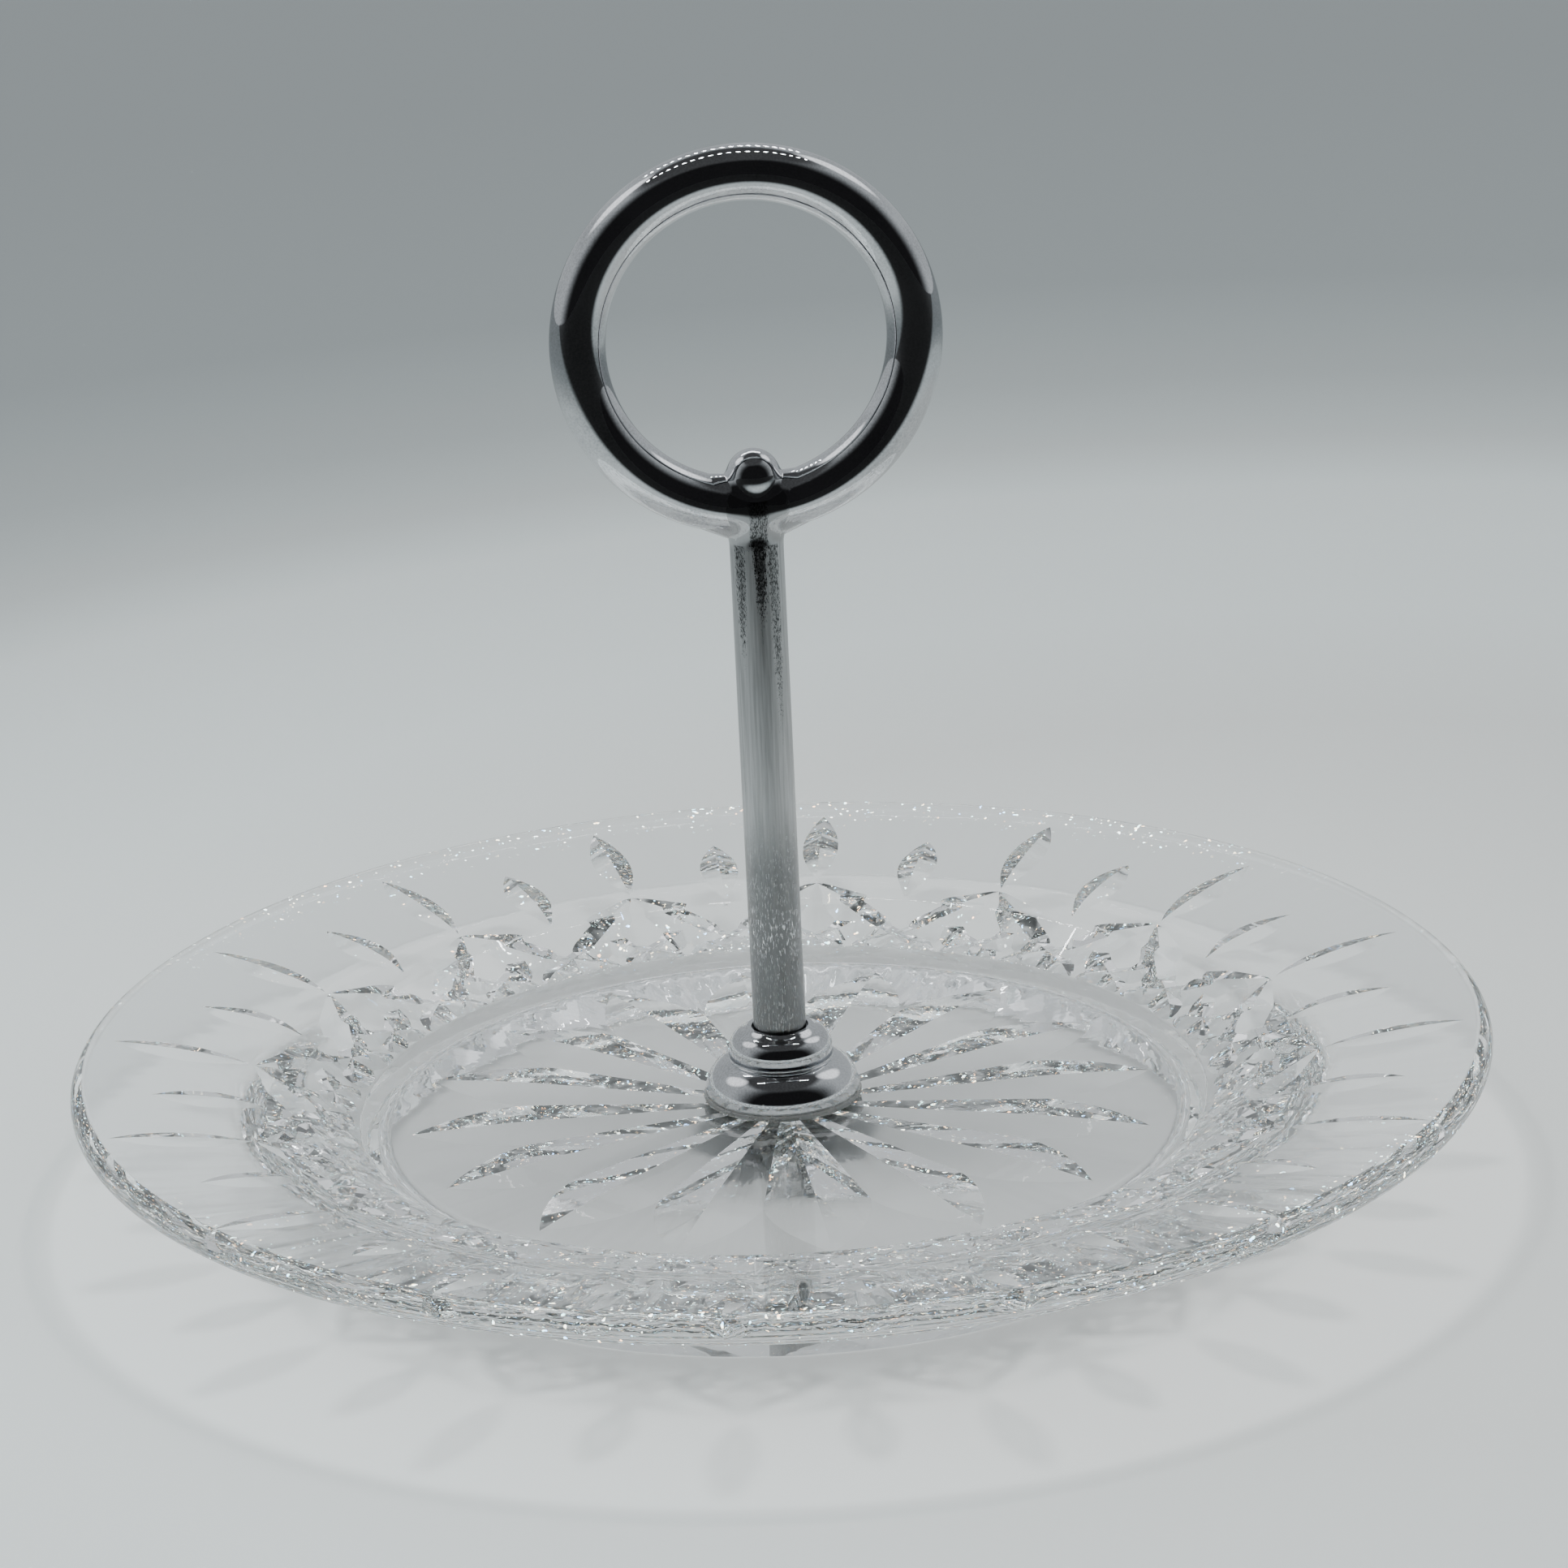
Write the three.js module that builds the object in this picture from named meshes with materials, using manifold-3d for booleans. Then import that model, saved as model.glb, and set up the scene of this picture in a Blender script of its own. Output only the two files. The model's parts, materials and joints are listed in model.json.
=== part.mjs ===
// A single-tier cake stand: a round cut-glass plate with a chrome ring handle bolted through its centre.
// Millimetres, +Z up. The origin is the middle of the circle on which the plate's foot rests.
// The ring handle lies in the XZ plane. Every piece is a turned or round part about Z, except the ring.
import * as THREE from "three";
import { mergeVertices } from "three/addons/utils/BufferGeometryUtils.js";
import Module from "manifold-3d";

// ---- Driving dimensions ----

const PLATE_RADIUS = 107.5;
const PLATE_SEGMENTS = 96;
const COLLAR_SEGMENTS = 40;
const WASHER_SEGMENTS = 40;
const WELL_TOP = 12.7; // height of the flat serving face
const WELL_RADIUS = 64.5;
const WELL_THICKNESS = 5.2;
const WELL_CORNER_WIDTH = 2; // bevel where the well turns up into the wall
const WELL_CORNER_RISE = 1;
const WALL_RADIUS = 72; // where the steep wall round the well turns into the flange
const WALL_TOP = 17.4;
const SHOULDER_WIDTH = 1.6; // bevel between the wall and the flange
const SHOULDER_DROP = 0.6;
const FLANGE_RADIUS = 76; // start of the gently rising flange
const FLANGE_TOP = 19;
const FLANGE_THICKNESS = 4.6;
const RIM_EDGE_RADIUS = 2.2; // half the thickness of the rounded rim
const RIM_HEIGHT = 22.4; // centre of the rounded rim
const FOOT_INNER = 64.3;
const FOOT_OUTER = 66.5;
const FOOT_CHAMFER = 0.8;
const RECESS_RADIUS = 62.8;
const SLOPE_RADIUS = 82; // top of the straight sloping side under the flange
const HOLE_RADIUS = 4.6;

const LAYER_GAP = 0.05; // air between two stacked flat faces
const FIT_GAP = 0.3; // air round a piece that sits in or on a curved neighbour

const STUD_RADIUS = 2.5;
const THREAD_BORE = STUD_RADIUS + FIT_GAP;
const STUD_FOOT = 0.5; // lowest point of the stud above the table
const STUD_SOCKET = 12; // depth of the stud's socket in the stem

const CUSHION_RADIUS = 12.1;
const CUSHION_THICKNESS = 0.8;
const STEEL_WASHER_RADIUS = 12;
const STEEL_WASHER_THICKNESS = 1;
const NUT_ACROSS_FLATS = 8;
const NUT_THICKNESS = 4;

const STEM_RADIUS = 4;
const STEM_CHAMFER = 0.4;
const COLLAR_LOWER_RADIUS = 11.75;
const COLLAR_LOWER_CURVE = 4.85; // radius of the lower dome's outline
const COLLAR_UPPER_RADIUS = 7.9;
const COLLAR_UPPER_CURVE = 3;
const COLLAR_COVE_RADIUS = 7.2;
const COLLAR_COVE_HEIGHT = 5.7;
const COLLAR_HEIGHT = 10.4;
const COLLAR_SEAT = 8.6; // height in the collar at which the stem's shoulder sits
const COLLAR_WALL = 1;

const RING_RADIUS = 24.65; // to the middle of the rod
const RING_ROD_RADIUS = 4.1;
const RING_HEIGHT = 130.3;
const BEAD_RADIUS = 4;
const BEAD_RISE = 4.5; // from the middle of the ring's rod up to the middle of the bead

// Heights that follow from the stack of pieces on the stud.
const WELL_UNDERSIDE = WELL_TOP - WELL_THICKNESS;
const TOP_CUSHION_BASE = WELL_TOP + LAYER_GAP;
const COLLAR_BASE = TOP_CUSHION_BASE + CUSHION_THICKNESS + LAYER_GAP;
const STEM_BASE = COLLAR_BASE + COLLAR_SEAT + LAYER_GAP;
const LOWER_CUSHION_BASE = WELL_UNDERSIDE - LAYER_GAP - CUSHION_THICKNESS;
const STEEL_WASHER_BASE = LOWER_CUSHION_BASE - LAYER_GAP - STEEL_WASHER_THICKNESS;
const NUT_BASE = STEEL_WASHER_BASE - LAYER_GAP - NUT_THICKNESS;
const RING_LOW_POINT = RING_HEIGHT - RING_RADIUS;

// ---- Materials ----

const glass = new THREE.MeshStandardMaterial({
  color: 0xdfe6ea,
  roughness: 0.03,
  metalness: 0,
  transparent: true,
  opacity: 0.4,
});
const chrome = () => new THREE.MeshStandardMaterial({ color: 0xc9ccd0, roughness: 0.08, metalness: 1 });
const wornChrome = new THREE.MeshStandardMaterial({ color: 0xb9bcc0, roughness: 0.22, metalness: 1 });
const zincSteel = () => new THREE.MeshStandardMaterial({ color: 0x9c9fa2, roughness: 0.35, metalness: 1 });
const clearVinyl = () => new THREE.MeshStandardMaterial({ color: 0xe4e6e4, roughness: 0.25, metalness: 0 });

// ---- Shape helpers ----

const wasm = await Module();
wasm.setup();

// Points of an arc in the lathe's plane, from one angle to the other, in degrees.
function arc(centreRadius, centreHeight, radius, fromDegrees, toDegrees, steps) {
  const points = [];
  for (let i = 0; i <= steps; i++) {
    const angle = THREE.MathUtils.degToRad(fromDegrees + ((toDegrees - fromDegrees) * i) / steps);
    points.push([centreRadius + radius * Math.cos(angle), centreHeight + radius * Math.sin(angle)]);
  }
  return points;
}

// A solid of revolution about Z. The outline runs anticlockwise in the (radius, height) plane.
// A closed outline is a ring and comes back to its first point. An open one starts and ends on the axis.
function turned(outline, segments, closed = true) {
  const points = outline.map(([radius, height]) => new THREE.Vector2(radius, height));
  if (closed) points.push(points[0].clone());
  return new THREE.LatheGeometry(points, segments).rotateX(Math.PI / 2);
}

function washer(innerRadius, outerRadius, base, thickness, edge) {
  const top = base + thickness;
  return turned(
    [
      [innerRadius, base],
      [outerRadius - edge, base],
      [outerRadius, base + edge],
      [outerRadius, top - edge],
      [outerRadius - edge, top],
      [innerRadius, top],
    ],
    WASHER_SEGMENTS,
  );
}

function solid(geometry) {
  const bare = geometry.clone();
  bare.deleteAttribute("normal");
  bare.deleteAttribute("uv");
  const merged = mergeVertices(bare, 1e-4);
  return new wasm.Manifold(
    new wasm.Mesh({
      numProp: 3,
      vertProperties: merged.attributes.position.array,
      triVerts: new Uint32Array(merged.index.array),
    }),
  );
}

function geometryOf(manifold) {
  const mesh = manifold.getMesh();
  const geometry = new THREE.BufferGeometry();
  geometry.setAttribute("position", new THREE.BufferAttribute(mesh.vertProperties, 3));
  geometry.setIndex(new THREE.BufferAttribute(mesh.triVerts, 1));
  geometry.computeVertexNormals();
  return geometry;
}

function ringOfRod(rodRadius, rodSides, ringSteps) {
  return new THREE.TorusGeometry(RING_RADIUS, rodRadius, rodSides, ringSteps)
    .rotateX(Math.PI / 2)
    .translate(0, 0, RING_HEIGHT);
}

// ---- The pieces ----

// The plate stands on a narrow foot ring, which lifts the middle clear of the nut. A steep wall leads
// from the flat well up to a gently rising flange with a rounded rim. Outside, the plate slopes
// straight up from the foot to the flange.
function plateGeometry() {
  const rimCentre = PLATE_RADIUS - RIM_EDGE_RADIUS;
  const flangeSlope = (RIM_HEIGHT + RIM_EDGE_RADIUS - FLANGE_TOP) / (rimCentre - FLANGE_RADIUS);
  const flangeAngle = THREE.MathUtils.radToDeg(Math.atan(flangeSlope));
  const slopeTop = FLANGE_TOP + flangeSlope * (SLOPE_RADIUS - FLANGE_RADIUS) - FLANGE_THICKNESS;
  return turned(
    [
      [HOLE_RADIUS, WELL_UNDERSIDE],
      [RECESS_RADIUS, WELL_UNDERSIDE],
      [FOOT_INNER - FOOT_CHAMFER, FOOT_CHAMFER],
      [FOOT_INNER, 0],
      [FOOT_OUTER, 0],
      [FOOT_OUTER + FOOT_CHAMFER, FOOT_CHAMFER],
      [SLOPE_RADIUS, slopeTop],
      ...arc(rimCentre, RIM_HEIGHT, RIM_EDGE_RADIUS, flangeAngle - 90, flangeAngle + 90, 6),
      [FLANGE_RADIUS, FLANGE_TOP],
      [WALL_RADIUS + SHOULDER_WIDTH, FLANGE_TOP - SHOULDER_DROP],
      [WALL_RADIUS, WALL_TOP],
      [WELL_RADIUS + WELL_CORNER_WIDTH, WELL_TOP + WELL_CORNER_RISE],
      [WELL_RADIUS, WELL_TOP],
      [HOLE_RADIUS, WELL_TOP],
    ],
    PLATE_SEGMENTS,
  );
}

// A thin-walled double dome, open underneath. The stem's shoulder sits in the lip at its top.
function collarGeometry() {
  const lowerCentre = COLLAR_LOWER_RADIUS - COLLAR_LOWER_CURVE;
  const lowerHeight = COLLAR_BASE + 0.5;
  const upperCentre = COLLAR_UPPER_RADIUS - COLLAR_UPPER_CURVE;
  const upperHeight = COLLAR_BASE + 6.9;
  const lipRadius = STEM_RADIUS + FIT_GAP;
  const ceiling = COLLAR_BASE + COLLAR_SEAT - COLLAR_WALL;
  return turned(
    [
      [COLLAR_LOWER_RADIUS - COLLAR_WALL, COLLAR_BASE],
      [COLLAR_LOWER_RADIUS - 0.2, COLLAR_BASE],
      ...arc(lowerCentre, lowerHeight, COLLAR_LOWER_CURVE, 0, 78, 6),
      [COLLAR_COVE_RADIUS, COLLAR_BASE + COLLAR_COVE_HEIGHT],
      ...arc(upperCentre, upperHeight, COLLAR_UPPER_CURVE, -12, 72, 5),
      [lipRadius + 0.7, COLLAR_BASE + COLLAR_HEIGHT],
      [lipRadius, COLLAR_BASE + COLLAR_HEIGHT],
      [lipRadius, COLLAR_BASE + COLLAR_SEAT],
      [THREAD_BORE, COLLAR_BASE + COLLAR_SEAT],
      [THREAD_BORE, ceiling],
      [COLLAR_UPPER_RADIUS - 2 * COLLAR_WALL, ceiling],
      ...arc(lowerCentre, lowerHeight, COLLAR_LOWER_CURVE - COLLAR_WALL, 80, 5, 4),
    ],
    COLLAR_SEGMENTS,
  );
}

// A round rod with a blind socket for the stud in its foot. Its top is hollowed to fit under the ring.
function stemGeometry() {
  const socketRadius = STUD_RADIUS + FIT_GAP;
  const rod = turned(
    [
      [0, STEM_BASE + STUD_SOCKET],
      [socketRadius, STEM_BASE + STUD_SOCKET],
      [socketRadius, STEM_BASE],
      [STEM_RADIUS - STEM_CHAMFER, STEM_BASE],
      [STEM_RADIUS, STEM_BASE + STEM_CHAMFER],
      [STEM_RADIUS, RING_LOW_POINT],
      [0, RING_LOW_POINT],
    ],
    32,
    false,
  );
  const ringSpace = solid(ringOfRod(RING_ROD_RADIUS + FIT_GAP, 20, 96));
  return geometryOf(solid(rod).subtract(ringSpace));
}

// A ball that stands on the inside of the ring, over the stem, hollowed where it meets the ring.
function beadGeometry() {
  const ball = new THREE.SphereGeometry(BEAD_RADIUS, 24, 16)
    .rotateX(Math.PI / 2)
    .translate(0, 0, RING_LOW_POINT + BEAD_RISE);
  const ringSpace = solid(ringOfRod(RING_ROD_RADIUS + FIT_GAP, 20, 96));
  return geometryOf(solid(ball).subtract(ringSpace));
}

function studGeometry() {
  const top = STEM_BASE + STUD_SOCKET - FIT_GAP;
  const tip = 0.3;
  return turned(
    [
      [0, STUD_FOOT],
      [STUD_RADIUS - tip, STUD_FOOT],
      [STUD_RADIUS, STUD_FOOT + tip],
      [STUD_RADIUS, top - tip],
      [STUD_RADIUS - tip, top],
      [0, top],
    ],
    24,
    false,
  );
}

// A hexagon nut, with the corners of both faces turned off at 30 degrees.
function nutGeometry() {
  const cornerRadius = NUT_ACROSS_FLATS / 2 / Math.cos(Math.PI / 6);
  const faceRadius = NUT_ACROSS_FLATS / 2 - 0.1;
  const cornerDrop = (cornerRadius + 0.1 - faceRadius) * Math.tan(Math.PI / 6);
  const top = NUT_BASE + NUT_THICKNESS;
  const hexagon = new THREE.CylinderGeometry(cornerRadius, cornerRadius, NUT_THICKNESS, 6)
    .rotateX(Math.PI / 2)
    .translate(0, 0, NUT_BASE + NUT_THICKNESS / 2);
  const chamferedRing = turned(
    [
      [THREAD_BORE, NUT_BASE],
      [faceRadius, NUT_BASE],
      [cornerRadius + 0.1, NUT_BASE + cornerDrop],
      [cornerRadius + 0.1, top - cornerDrop],
      [faceRadius, top],
      [THREAD_BORE, top],
    ],
    48,
  );
  return geometryOf(solid(hexagon).intersect(solid(chamferedRing)));
}

// ---- Assembly ----

function piece(name, geometry, material) {
  const mesh = new THREE.Mesh(geometry, material);
  mesh.name = name;
  return mesh;
}

function cushion(base) {
  return washer(THREAD_BORE, CUSHION_RADIUS, base, CUSHION_THICKNESS, 0.15);
}

const handle = new THREE.Group();
handle.add(
  piece("handle_ring", ringOfRod(RING_ROD_RADIUS, 16, 64), chrome()),
  piece("bead", beadGeometry(), chrome()),
  piece("stem", stemGeometry(), wornChrome),
  piece("threaded_stud", studGeometry(), zincSteel()),
);

const underside = new THREE.Group();
underside.add(
  piece("lower_cushion_washer", cushion(LOWER_CUSHION_BASE), clearVinyl()),
  piece(
    "steel_washer",
    washer(THREAD_BORE, STEEL_WASHER_RADIUS, STEEL_WASHER_BASE, STEEL_WASHER_THICKNESS, 0.2),
    zincSteel(),
  ),
  piece("nut", nutGeometry(), zincSteel()),
);

const group = new THREE.Group();
group.add(
  piece("plate", plateGeometry(), glass),
  piece("top_cushion_washer", cushion(TOP_CUSHION_BASE), clearVinyl()),
  piece("collar", collarGeometry(), chrome()),
  handle,
  underside,
);

export default group;
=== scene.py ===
"""The looks of a cut-glass cake plate with a chrome ring handle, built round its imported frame.

Shapes are worked out in millimetres and turned into metres when a mesh is made. The plate is a
turned solid whose underside is cut with V grooves, as a cutter's wheel would: two rings of leaves
under the flange, a band of diamonds on the sloping side and a star of sixteen rays under the well.
"""
import json
import math

import bmesh
import bpy
import numpy as np
from mathutils import Matrix, Vector


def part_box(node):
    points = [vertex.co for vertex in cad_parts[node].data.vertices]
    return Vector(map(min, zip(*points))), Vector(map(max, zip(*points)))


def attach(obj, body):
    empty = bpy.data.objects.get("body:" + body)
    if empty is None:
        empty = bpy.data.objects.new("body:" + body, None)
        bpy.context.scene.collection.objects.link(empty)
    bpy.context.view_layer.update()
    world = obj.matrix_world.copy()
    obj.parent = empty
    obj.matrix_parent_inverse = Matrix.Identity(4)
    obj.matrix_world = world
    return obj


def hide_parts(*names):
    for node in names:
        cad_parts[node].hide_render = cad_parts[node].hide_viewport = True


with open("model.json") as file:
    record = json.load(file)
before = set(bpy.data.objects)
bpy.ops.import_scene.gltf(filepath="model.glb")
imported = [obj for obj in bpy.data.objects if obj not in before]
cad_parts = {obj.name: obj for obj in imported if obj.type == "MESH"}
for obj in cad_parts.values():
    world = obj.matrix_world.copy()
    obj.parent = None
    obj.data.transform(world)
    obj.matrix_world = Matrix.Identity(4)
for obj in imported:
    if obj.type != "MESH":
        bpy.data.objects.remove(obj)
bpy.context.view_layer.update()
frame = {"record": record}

MM = 0.001

# ---- Sizes of the plate, in millimetres ----

SECTORS = 16  # the cut pattern repeats every 22.5 degrees
SECTOR = 2 * math.pi / SECTORS
PLATE_STEPS = 480  # faces round the plate, a whole number in each sector
WELL_TOP = {mount["name"]: mount["pos_m"][2] for mount in frame["record"]["mounts"]}["serving_face"] / MM
WELL_UNDERSIDE = 7.5
WELL_CORNER = 64.7
WALL_CORNER = (72.95, 18.42)
SLOPE_TOP = (82.0, 15.55)
FOOT_INNER = 63.9
FOOT_OUTER = 66.9
RECESS_RADIUS = 61.8
HOLE_RADIUS = 4.6
RIM_EDGE_RADIUS = 2.2
WASHER_BORE = 2.8
FLANGE_ANGLE = math.radians(10.82)

# Cuts: where they start and end, measured from the axis, how deep they go and how steep their sides are.
OUTER_LEAF = {"start": 104.0, "end": 83.0, "depth": 1.7, "slope": math.radians(29)}
INNER_LEAF = {"start": 96.0, "end": 79.5, "depth": 1.8, "slope": math.radians(29)}
BAND_SLOPE = math.radians(30)
STAR_SLOPE = math.radians(14.5)
STAR_WIDEST = 39.0
STAR_TIP = 57.2
STAR_DEPTH = 2.05

# ---- Sizes on the stem, in millimetres ----

FILLET_END = 0.06  # a fillet of braze ends where its pull has fallen to this share
JOINT_DEPTHS = (2.4, 0.2)  # below the ring's rod: the brazed joint starts and is at its full
STREAK_DEPTH = 1.2  # below the ring's rod: the streaks start
DARKER_LOW_HEIGHTS = (62.0, 48.0)  # the lower stem's darker colour starts and is at its full
SPECKLE_FOOT = 34.0  # the foot of the band of speckles
SPECKLE_SPAN = 11.0  # and its height

# Dark streaks at the top of the stem, painted reflections of the ring's dark band: the middle in degrees
# round from the front, the half width in degrees and the length in millimetres. The one at 0 runs on up into
# the joint.
STEM_PAINTED_REFLECTIONS = ((-47, 13, 14), (0, 13, 10), (31, 12, 22))

# ---- Sizes and greys of the stage ----

# Rows of small lamps under the tent's ceiling, in millimetres. LAMP_ROWS holds each row's Y.
LAMP_ROWS = (30.0, 255.0, 285.0)
LAMPS_IN_ROW = 20
LAMP_ROW_LENGTH = 320.0
LAMP_HEIGHT = 420.0
LAMP_RADIUS = 3.8
LAMP_GLOW = 60.0

# The tent as it is seen through the glass and as it is mirrored: the greys of its open front, its back
# wall and its ceiling, and the shares of +Y between which the front gives way to the back.
GLASS_TENT = ((0.10, 0.105, 0.11), (0.66, 0.69, 0.71), (1.0, 1.03, 1.06), (-0.15, 0.40))
MIRROR_TENT = ((0.012, 0.012, 0.013), (0.50, 0.53, 0.55), (0.07, 0.072, 0.075), (-0.62, 0.08))
FLOOR_LIGHT = (0.74, 0.785, 0.80)  # the light that falls on the floor from all sides
CEILING_EDGE = (0.76, 0.88)  # the shares of +Z between which the ceiling starts

# Two white panels in the tent's sides: their middles as directions, their colour, and how many degrees
# round the middle their soft edge ends and starts.
SIDE_PANELS = ((0.65, 0.34, 0.71), (-0.65, 0.34, 0.71))
PANEL_GLOW = (1.6, 1.63, 1.68)
PANEL_EDGE = (17, 9)

# The floor's painted light at each distance from a point near the plate, in metres: a painted pool of light,
# palest 0.24 to 0.35 m off, a little darker nearer and greyer further off.
PAINTED_POOL_MIDDLE = (0.10, 0.05, 0)
FLOOR_PAINTED_LIGHT = (
    (0.16, (0.77, 0.795, 0.785)),
    (1.0, (0.365, 0.395, 0.405)),
    (0.24, (0.875, 0.935, 0.935)),
    (0.30, (0.89, 0.955, 0.955)),
    (0.35, (0.86, 0.92, 0.92)),
    (0.40, (0.65, 0.69, 0.69)),
    (0.47, (0.50, 0.54, 0.545)),
    (0.60, (0.39, 0.425, 0.435)),
)


# ---- Mesh helpers ----


def mesh_object(name, points, faces):
    """A new object from points in millimetres."""
    mesh = bpy.data.meshes.new(name)
    mesh.from_pydata([tuple(MM * c for c in p) for p in points], [], faces)
    mesh.update()
    piece = bpy.data.objects.new(name, mesh)
    bpy.context.scene.collection.objects.link(piece)
    return piece


def rounded(corners, step=math.radians(5)):
    """The outline through these (radius, height, rounding) corners, each rounded by its own arc."""
    outline = []
    for i, (r, z, rounding) in enumerate(corners):
        here = Vector((r, z))
        if not rounding:
            outline.append((r, z))
            continue
        back = (Vector(corners[i - 1][:2]) - here).normalized()
        ahead = (Vector(corners[(i + 1) % len(corners)][:2]) - here).normalized()
        half = back.angle(ahead) / 2
        centre = here + (back + ahead).normalized() * (rounding / math.sin(half))
        start = here + back * (rounding / math.tan(half)) - centre
        end = here + ahead * (rounding / math.tan(half)) - centre
        sweep = math.atan2(start.x * end.y - start.y * end.x, start.dot(end))
        steps = max(2, math.ceil(abs(sweep) / step))
        for k in range(steps + 1):
            turn = Matrix.Rotation(sweep * k / steps, 2)
            outline.append(tuple(centre + turn @ start))
    return outline


def grid_solid(name, rows):
    """A closed solid from rings of points, each end closed to a point in its middle."""
    count = len(rows[0])
    points = [tuple(p) for row in rows for p in row]
    faces = []
    for i in range(len(rows) - 1):
        for k in range(count):
            n = (k + 1) % count
            faces.append((i * count + k, i * count + n, (i + 1) * count + n, (i + 1) * count + k))
    for first, order in ((0, -1), ((len(rows) - 1) * count, 1)):
        centre = len(points)
        points.append(tuple(np.mean([points[first + k] for k in range(count)], axis=0)))
        for k in range(count):
            n = (k + 1) % count
            faces.append((first + k, first + n, centre)[::order])
    return mesh_object(name, points, faces)


def loop_solid(name, rows):
    """A closed solid like a ring, from rings of points. The last is joined to the first."""
    count = len(rows[0])
    points = [tuple(p) for row in rows for p in row]
    faces = []
    for i in range(len(rows)):
        here, there = i * count, (i + 1) % len(rows) * count
        for k in range(count):
            n = (k + 1) % count
            faces.append((here + k, here + n, there + n, there + k))
    return mesh_object(name, points, faces)


def turned(name, outline, steps):
    """A solid of revolution. The outline runs anticlockwise in the (radius, height) plane."""
    angles = [2 * math.pi * k / steps for k in range(steps)]
    return loop_solid(name, [[(r * math.cos(a), r * math.sin(a), z) for a in angles] for r, z in outline])


def from_level(around, lift):
    """The direction at this angle about Z, lifted from the level."""
    return Vector((math.cos(around) * math.cos(lift), math.sin(around) * math.cos(lift), math.sin(lift)))


def from_top(around, polar):
    """The direction at this angle about Z and this angle from straight up."""
    return Vector((math.sin(polar) * math.cos(around), math.sin(polar) * math.sin(around), math.cos(polar)))


def smooth(piece, angle=30.0):
    """Smooth shading that keeps edges sharper than this angle, in degrees."""
    piece.data.polygons.foreach_set("use_smooth", [True] * len(piece.data.polygons))
    piece.data.set_sharp_from_angle(angle=math.radians(angle))
    return piece


# ---- The plate ----


def plate_corners():
    """Corners of the plate's section, each with its rounding."""
    rim_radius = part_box("plate")[1].x / MM
    rim_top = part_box("plate")[1].z / MM
    centre = Vector((rim_radius - RIM_EDGE_RADIUS, rim_top - RIM_EDGE_RADIUS))
    along = Vector((math.cos(FLANGE_ANGLE), math.sin(FLANGE_ANGLE))) * RIM_EDGE_RADIUS
    up = Vector((-along.y, along.x))
    rim_rounding = 0.99 * RIM_EDGE_RADIUS
    return [
        (HOLE_RADIUS, WELL_UNDERSIDE, 0.3),
        (RECESS_RADIUS, WELL_UNDERSIDE, 2.2),
        (FOOT_INNER, 0, 0.6),
        (FOOT_OUTER, 0, 0.7),
        (*SLOPE_TOP, 12),
        (*(centre + along - up), rim_rounding),
        (*(centre + along + up), rim_rounding),
        (*WALL_CORNER, 4),
        (WELL_CORNER, WELL_TOP, 0.8),
        (HOLE_RADIUS, WELL_TOP, 0.3),
    ]


def side_curve(outline):
    """Radius and height along the plate's side, from a little below the table up to the rim's turn."""
    rim_turn = 106
    run_on = 8
    side = []
    for r, z in outline:
        below_top = z < 0.25 * (r - 66) + 12.5 and z < r - FOOT_OUTER + 0.3
        if FOOT_OUTER + 1 < r < rim_turn and below_top:
            side.append((r, z))
    side.sort()
    first, second = Vector(side[0]), Vector(side[1])
    side.insert(0, tuple(first - (second - first).normalized() * run_on))
    return np.array(side)


def side_point(curve, radius):
    """The point of the plate's side at this radius, and its outward normal, as (r, z) pairs."""
    z = np.interp(radius, curve[:, 0], curve[:, 1])
    reach = 0.4
    rise = np.interp(radius + reach, curve[:, 0], curve[:, 1])
    rise -= np.interp(radius - reach, curve[:, 0], curve[:, 1])
    along = Vector((2 * reach, rise)).normalized()
    return (radius, z), (along.y, -along.x)


def station(curve, radius, angle, depth):
    """One step of a cut on the plate's side: a surface point, its outward normal and the depth."""
    (r, z), (nr, nz) = side_point(curve, radius)
    c, s = math.cos(angle), math.sin(angle)
    return Vector((r * c, r * s, z)), Vector((nr * c, nr * s, nz)), depth


def groove(stations, slope, lift):
    """A V-shaped cutter along these stations, as points and faces. Its lid stands clear of the glass."""
    points, faces = [], []
    last = len(stations) - 1
    for i, (place, outward, depth) in enumerate(stations):
        along = stations[min(i + 1, last)][0] - stations[max(i - 1, 0)][0]
        across = along.cross(outward).normalized()
        half_width = (depth + lift) / math.tan(slope)
        lid = place + outward * lift
        points += [place - outward * depth, lid - across * half_width, lid + across * half_width]
    for i in range(last):
        a, b = 3 * i, 3 * i + 3
        faces += [(a, b, b + 1, a + 1), (a + 2, b + 2, b, a), (a + 1, b + 1, b + 2, a + 2)]
    end = 3 * last
    faces += [(0, 1, 2), (end + 2, end + 1, end)]
    return points, faces


def leaf(curve, angle, start, end, depth, slope):
    """A lens-shaped cut that runs straight in from the rim."""
    steps = 24
    path = []
    for i in range(steps + 1):
        t = i / steps
        path.append(station(curve, start + (end - start) * t, angle, depth * (1 - (2 * t - 1) ** 2)))
    return groove(path, slope, 0.2)


def band_cut(curve, angle, hand, start, end, turn, depth):
    """A long cut that slants down the side to just above the foot. It is straight on the cone unrolled."""
    steps = 28
    unroll = 0.706  # a turn round the cone's axis, seen on the cone laid flat
    flat = [Vector((math.cos(unroll * a), math.sin(unroll * a))) * r for r, a in ((start, 0), (end, turn))]
    path = []
    for i in range(steps + 1):
        t = i / steps
        place = flat[0].lerp(flat[1], t)
        theta = math.atan2(place.y, place.x) / unroll
        deep = depth * min(1, t / 0.3, (1 - t) / 0.12) ** 0.7
        path.append(station(curve, place.length, angle + hand * theta, deep))
    return groove(path, BAND_SLOPE, 0.3)


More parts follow.
